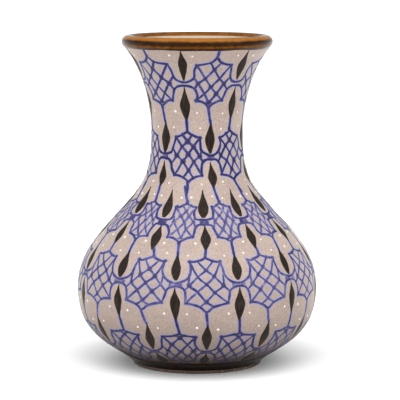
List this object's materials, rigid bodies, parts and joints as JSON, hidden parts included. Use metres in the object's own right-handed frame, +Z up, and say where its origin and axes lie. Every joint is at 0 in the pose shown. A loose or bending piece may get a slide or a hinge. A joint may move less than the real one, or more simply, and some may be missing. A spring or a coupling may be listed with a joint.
{
  "type": "pottery vase",
  "caption": "Round-bellied pottery vase with a waisted neck, flared rolled lip and turned foot, hand-painted with net and lozenge bands; holds cut stems or stands as an ornament.",
  "frame": {"origin": "Centre of the resting face of the foot, on the surface that the vase stands on.", "axes": "+Z up along the axis of the vase; +X to the right and -Y toward the viewer, the side shown at rest."},
  "size_m": [0.1826, 0.1826, 0.25],
  "materials": {
    "fired_clay": "unglazed fired clay, fine turning marks",
    "sand_slip": "matte, finely speckled pink-sand slip",
    "brown_glaze": "glossy, near-black brown, golden where thin",
    "liner_glaze": "glossy cream, thin",
    "dark_slip": "satin brushed brown-black, thinner and browner at the tips",
    "white_slip": "satin raised white dots",
    "cobalt_blue": "brushed cobalt pigment, soft lavender edges"
  },
  "bodies": {
    "root": {"foot_ring": "fired_clay", "floor_disc": "fired_clay", "belly_wall": "fired_clay", "neck_wall": "fired_clay", "lip_roll": "fired_clay", "foot_glaze": "brown_glaze", "slip_coat": "sand_slip", "lip_glaze": "brown_glaze", "liner_glaze": "liner_glaze", "hanging_lozenges_1": "dark_slip", "hanging_lozenges_2": "dark_slip", "hanging_lozenges_3": "dark_slip", "hanging_lozenges_4": "dark_slip", "hanging_lozenges_5": "dark_slip", "standing_lozenges_1": "dark_slip", "standing_lozenges_2": "dark_slip", "standing_lozenges_3": "dark_slip", "standing_lozenges_4": "dark_slip", "standing_lozenges_5": "dark_slip", "white_dots_1": "white_slip", "white_dots_2": "white_slip", "white_dots_3": "white_slip", "white_dots_4": "white_slip", "white_dots_5": "white_slip"}
  },
  "joints": []
}
